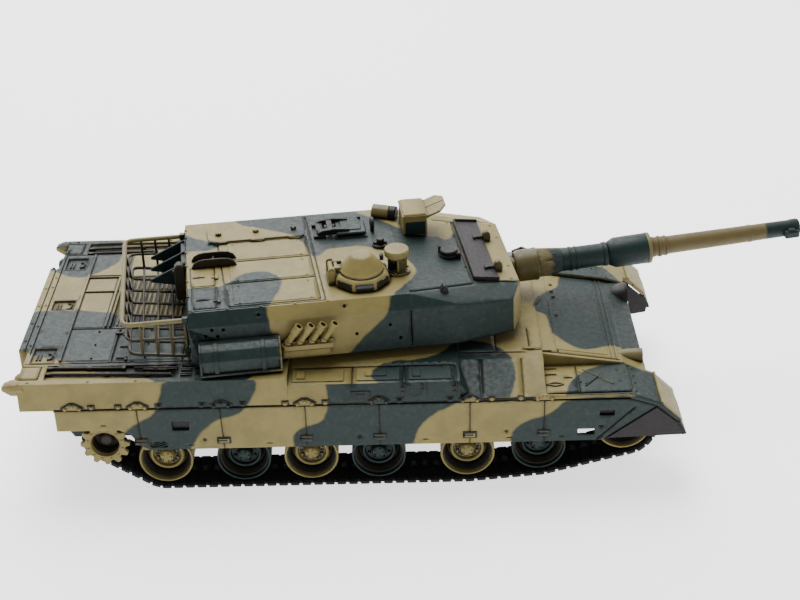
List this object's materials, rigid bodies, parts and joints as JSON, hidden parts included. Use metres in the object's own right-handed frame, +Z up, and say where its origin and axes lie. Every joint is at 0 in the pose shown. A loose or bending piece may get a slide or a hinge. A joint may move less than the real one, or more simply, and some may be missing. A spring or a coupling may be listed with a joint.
{
  "type": "radio-controlled tank model",
  "caption": "Radio-controlled battle tank model with turning turret, elevating gun, opening hatches, sprung road wheels, skirts and tracked running gear.",
  "frame": {"origin": "on the ground under the middle of the model's box", "axes": "+X forward along the hull, +Y to the left, +Z up; the turret rests 7.5 degrees to the left"},
  "size_m": [0.3888, 0.143, 0.1048],
  "materials": {
    "camouflage": "satin two-tone camouflage of sand and blue-green",
    "sand_paint": "satin sand",
    "green_paint": "satin dark blue-green",
    "olive_paint": "satin olive",
    "track_plastic": "matt black links",
    "black_plastic": "matt black",
    "flap_rubber": "matt dark brown",
    "battery_wrap": "blue shrink sleeve",
    "circuit_board": "green lacquer",
    "nylon": "natural nylon",
    "motor_steel": "plain steel cans"
  },
  "bodies": {
    "hull": {"lower_hull": "green_paint", "upper_hull": "camouflage", "side_skirt_right": "camouflage", "side_skirt_left": "camouflage", "track_right": "track_plastic", "track_left": "track_plastic", "front_mudflap_right": "flap_rubber", "front_mudflap_left": "flap_rubber", "battery_pack": "battery_wrap", "battery_cover": "black_plastic", "main_circuit_board": "circuit_board", "gearbox_right": "nylon", "gearbox_left": "nylon", "drive_motor_right": "motor_steel", "drive_motor_left": "motor_steel", "traverse_motor": "motor_steel"},
    "turret": {"turret_shell": "camouflage", "turret_base": "green_paint", "elevation_motor": "motor_steel", "commander_cupola": "sand_paint", "panoramic_sight": "sand_paint", "gunner_sight_box": "sand_paint", "bustle_basket": "olive_paint", "smoke_launcher_right": "sand_paint", "smoke_launcher_left": "sand_paint"},
    "gun": {"gun_mantlet": "olive_paint", "gun_barrel": "camouflage", "fume_extractor": "green_paint"},
    "commander_hatch": {"commander_hatch": "sand_paint"},
    "gunner_hatch": {"gunner_hatch": "green_paint"},
    "power_switch": {"power_switch": "black_plastic"},
    "traverse_pinion": {"traverse_pinion": "nylon"},
    "drive_sprocket_right": {"drive_sprocket_right": "sand_paint"},
    "idler_wheel_right": {"idler_wheel_right": "sand_paint"},
    "swing_arm_right_1": {"swing_arm_right_1": "black_plastic"},
    "road_wheel_right_1": {"road_wheel_right_1": "sand_paint"},
    "swing_arm_right_2": {"swing_arm_right_2": "black_plastic"},
    "road_wheel_right_2": {"road_wheel_right_2": "green_paint"},
    "swing_arm_right_3": {"swing_arm_right_3": "black_plastic"},
    "road_wheel_right_3": {"road_wheel_right_3": "sand_paint"},
    "swing_arm_right_4": {"swing_arm_right_4": "black_plastic"},
    "road_wheel_right_4": {"road_wheel_right_4": "green_paint"},
    "swing_arm_right_5": {"swing_arm_right_5": "black_plastic"},
    "road_wheel_right_5": {"road_wheel_right_5": "sand_paint"},
    "swing_arm_right_6": {"swing_arm_right_6": "black_plastic"},
    "road_wheel_right_6": {"road_wheel_right_6": "green_paint"},
    "drive_sprocket_left": {"drive_sprocket_left": "sand_paint"},
    "idler_wheel_left": {"idler_wheel_left": "sand_paint"},
    "swing_arm_left_1": {"swing_arm_left_1": "black_plastic"},
    "road_wheel_left_1": {"road_wheel_left_1": "sand_paint"},
    "swing_arm_left_2": {"swing_arm_left_2": "black_plastic"},
    "road_wheel_left_2": {"road_wheel_left_2": "green_paint"},
    "swing_arm_left_3": {"swing_arm_left_3": "black_plastic"},
    "road_wheel_left_3": {"road_wheel_left_3": "sand_paint"},
    "swing_arm_left_4": {"swing_arm_left_4": "black_plastic"},
    "road_wheel_left_4": {"road_wheel_left_4": "green_paint"},
    "swing_arm_left_5": {"swing_arm_left_5": "black_plastic"},
    "road_wheel_left_5": {"road_wheel_left_5": "sand_paint"},
    "swing_arm_left_6": {"swing_arm_left_6": "black_plastic"},
    "road_wheel_left_6": {"road_wheel_left_6": "green_paint"}
  },
  "joints": [
    {"name": "turret_traverse", "type": "hinge", "parent": "hull", "child": "turret", "pos_m": [-0.04061, 0, 0], "axis": [0, 0, 1], "range_deg": [-167.5, 152.5]},
    {"name": "traverse_pinion_spin", "type": "hinge", "parent": "hull", "child": "traverse_pinion", "pos_m": [-0.01661, 0, 0.061], "axis": [0, 0, 1], "continuous": true},
    {"name": "gun_elevation", "type": "hinge", "parent": "turret", "child": "gun", "pos_m": [0.01888, 0.00783, 0.0734], "axis": [0.1305, -0.9914, 0], "range_deg": [-3.4, 6.6]},
    {"name": "commander_hatch_hinge", "type": "hinge", "parent": "turret", "child": "commander_hatch", "pos_m": [-0.04204, -0.02742, 0.098], "axis": [0.1305, -0.9914, 0], "range_deg": [0, 100]},
    {"name": "gunner_hatch_hinge", "type": "hinge", "parent": "turret", "child": "gunner_hatch", "pos_m": [-0.04969, 0.02301, 0.0929], "axis": [0.1305, -0.9914, 0], "range_deg": [0, 100]},
    {"name": "power_switch_slide", "type": "slide", "parent": "hull", "child": "power_switch", "axis": [1, 0, 0], "range_m": [0, 0.003]},
    {"name": "sprocket_spin_right", "type": "hinge", "parent": "hull", "child": "drive_sprocket_right", "pos_m": [-0.15061, -0.065, 0.0292], "axis": [0, 1, 0], "continuous": true},
    {"name": "idler_spin_right", "type": "hinge", "parent": "hull", "child": "idler_wheel_right", "pos_m": [0.09489, -0.065, 0.0304], "axis": [0, 1, 0], "continuous": true},
    {"name": "arm_swing_right_1", "type": "hinge", "parent": "hull", "child": "swing_arm_right_1", "pos_m": [-0.10651, -0.0395, 0.022], "axis": [0, 1, 0], "range_deg": [0, 8], "stiffness_Nm_per_rad": 0.12, "springref_deg": -8.02},
    {"name": "wheel_spin_right_1", "type": "hinge", "parent": "swing_arm_right_1", "child": "road_wheel_right_1", "pos_m": [-0.12351, -0.065, 0.0165], "axis": [0, 1, 0], "continuous": true},
    {"name": "arm_swing_right_2", "type": "hinge", "parent": "hull", "child": "swing_arm_right_2", "pos_m": [-0.06911, -0.0395, 0.022], "axis": [0, 1, 0], "range_deg": [0, 8], "stiffness_Nm_per_rad": 0.12, "springref_deg": -8.02},
    {"name": "wheel_spin_right_2", "type": "hinge", "parent": "swing_arm_right_2", "child": "road_wheel_right_2", "pos_m": [-0.08611, -0.065, 0.0165], "axis": [0, 1, 0], "continuous": true},
    {"name": "arm_swing_right_3", "type": "hinge", "parent": "hull", "child": "swing_arm_right_3", "pos_m": [-0.03681, -0.0395, 0.022], "axis": [0, 1, 0], "range_deg": [0, 8], "stiffness_Nm_per_rad": 0.12, "springref_deg": -8.02},
    {"name": "wheel_spin_right_3", "type": "hinge", "parent": "swing_arm_right_3", "child": "road_wheel_right_3", "pos_m": [-0.05381, -0.065, 0.0165], "axis": [0, 1, 0], "continuous": true},
    {"name": "arm_swing_right_4", "type": "hinge", "parent": "hull", "child": "swing_arm_right_4", "pos_m": [-0.00451, -0.0395, 0.022], "axis": [0, 1, 0], "range_deg": [0, 8], "stiffness_Nm_per_rad": 0.12, "springref_deg": -8.02},
    {"name": "wheel_spin_right_4", "type": "hinge", "parent": "swing_arm_right_4", "child": "road_wheel_right_4", "pos_m": [-0.02151, -0.065, 0.0165], "axis": [0, 1, 0], "continuous": true},
    {"name": "arm_swing_right_5", "type": "hinge", "parent": "hull", "child": "swing_arm_right_5", "pos_m": [0.03799, -0.0395, 0.022], "axis": [0, 1, 0], "range_deg": [0, 8], "stiffness_Nm_per_rad": 0.12, "springref_deg": -8.02},
    {"name": "wheel_spin_right_5", "type": "hinge", "parent": "swing_arm_right_5", "child": "road_wheel_right_5", "pos_m": [0.02099, -0.065, 0.0165], "axis": [0, 1, 0], "continuous": true},
    {"name": "arm_swing_right_6", "type": "hinge", "parent": "hull", "child": "swing_arm_right_6", "pos_m": [0.07189, -0.0395, 0.022], "axis": [0, 1, 0], "range_deg": [0, 8], "stiffness_Nm_per_rad": 0.12, "springref_deg": -8.02},
    {"name": "wheel_spin_right_6", "type": "hinge", "parent": "swing_arm_right_6", "child": "road_wheel_right_6", "pos_m": [0.05489, -0.065, 0.0195], "axis": [0, 1, 0], "continuous": true},
    {"name": "sprocket_spin_left", "type": "hinge", "parent": "hull", "child": "drive_sprocket_left", "pos_m": [-0.15061, 0.065, 0.0292], "axis": [0, 1, 0], "continuous": true},
    {"name": "idler_spin_left", "type": "hinge", "parent": "hull", "child": "idler_wheel_left", "pos_m": [0.09489, 0.065, 0.0304], "axis": [0, 1, 0], "continuous": true},
    {"name": "arm_swing_left_1", "type": "hinge", "parent": "hull", "child": "swing_arm_left_1", "pos_m": [-0.10651, 0.0395, 0.022], "axis": [0, 1, 0], "range_deg": [0, 8], "stiffness_Nm_per_rad": 0.12, "springref_deg": -8.02},
    {"name": "wheel_spin_left_1", "type": "hinge", "parent": "swing_arm_left_1", "child": "road_wheel_left_1", "pos_m": [-0.12351, 0.065, 0.0165], "axis": [0, 1, 0], "continuous": true},
    {"name": "arm_swing_left_2", "type": "hinge", "parent": "hull", "child": "swing_arm_left_2", "pos_m": [-0.06911, 0.0395, 0.022], "axis": [0, 1, 0], "range_deg": [0, 8], "stiffness_Nm_per_rad": 0.12, "springref_deg": -8.02},
    {"name": "wheel_spin_left_2", "type": "hinge", "parent": "swing_arm_left_2", "child": "road_wheel_left_2", "pos_m": [-0.08611, 0.065, 0.0165], "axis": [0, 1, 0], "continuous": true},
    {"name": "arm_swing_left_3", "type": "hinge", "parent": "hull", "child": "swing_arm_left_3", "pos_m": [-0.03681, 0.0395, 0.022], "axis": [0, 1, 0], "range_deg": [0, 8], "stiffness_Nm_per_rad": 0.12, "springref_deg": -8.02},
    {"name": "wheel_spin_left_3", "type": "hinge", "parent": "swing_arm_left_3", "child": "road_wheel_left_3", "pos_m": [-0.05381, 0.065, 0.0165], "axis": [0, 1, 0], "continuous": true},
    {"name": "arm_swing_left_4", "type": "hinge", "parent": "hull", "child": "swing_arm_left_4", "pos_m": [-0.00451, 0.0395, 0.022], "axis": [0, 1, 0], "range_deg": [0, 8], "stiffness_Nm_per_rad": 0.12, "springref_deg": -8.02},
    {"name": "wheel_spin_left_4", "type": "hinge", "parent": "swing_arm_left_4", "child": "road_wheel_left_4", "pos_m": [-0.02151, 0.065, 0.0165], "axis": [0, 1, 0], "continuous": true},
    {"name": "arm_swing_left_5", "type": "hinge", "parent": "hull", "child": "swing_arm_left_5", "pos_m": [0.03799, 0.0395, 0.022], "axis": [0, 1, 0], "range_deg": [0, 8], "stiffness_Nm_per_rad": 0.12, "springref_deg": -8.02},
    {"name": "wheel_spin_left_5", "type": "hinge", "parent": "swing_arm_left_5", "child": "road_wheel_left_5", "pos_m": [0.02099, 0.065, 0.0165], "axis": [0, 1, 0], "continuous": true},
    {"name": "arm_swing_left_6", "type": "hinge", "parent": "hull", "child": "swing_arm_left_6", "pos_m": [0.07189, 0.0395, 0.022], "axis": [0, 1, 0], "range_deg": [0, 8], "stiffness_Nm_per_rad": 0.12, "springref_deg": -8.02},
    {"name": "wheel_spin_left_6", "type": "hinge", "parent": "swing_arm_left_6", "child": "road_wheel_left_6", "pos_m": [0.05489, 0.065, 0.0195], "axis": [0, 1, 0], "continuous": true}
  ],
  "couplings": [
    {"joint": "traverse_pinion_spin", "follows": "turret_traverse", "ratio": -4},
    {"joint": "idler_spin_right", "follows": "sprocket_spin_right", "ratio": 0.63},
    {"joint": "wheel_spin_right_1", "follows": "sprocket_spin_right", "ratio": 0.63},
    {"joint": "wheel_spin_right_2", "follows": "sprocket_spin_right", "ratio": 0.63},
    {"joint": "wheel_spin_right_3", "follows": "sprocket_spin_right", "ratio": 0.63},
    {"joint": "wheel_spin_right_4", "follows": "sprocket_spin_right", "ratio": 0.63},
    {"joint": "wheel_spin_right_5", "follows": "sprocket_spin_right", "ratio": 0.63},
    {"joint": "wheel_spin_right_6", "follows": "sprocket_spin_right", "ratio": 0.63},
    {"joint": "idler_spin_left", "follows": "sprocket_spin_left", "ratio": 0.63},
    {"joint": "wheel_spin_left_1", "follows": "sprocket_spin_left", "ratio": 0.63},
    {"joint": "wheel_spin_left_2", "follows": "sprocket_spin_left", "ratio": 0.63},
    {"joint": "wheel_spin_left_3", "follows": "sprocket_spin_left", "ratio": 0.63},
    {"joint": "wheel_spin_left_4", "follows": "sprocket_spin_left", "ratio": 0.63},
    {"joint": "wheel_spin_left_5", "follows": "sprocket_spin_left", "ratio": 0.63},
    {"joint": "wheel_spin_left_6", "follows": "sprocket_spin_left", "ratio": 0.63}
  ]
}
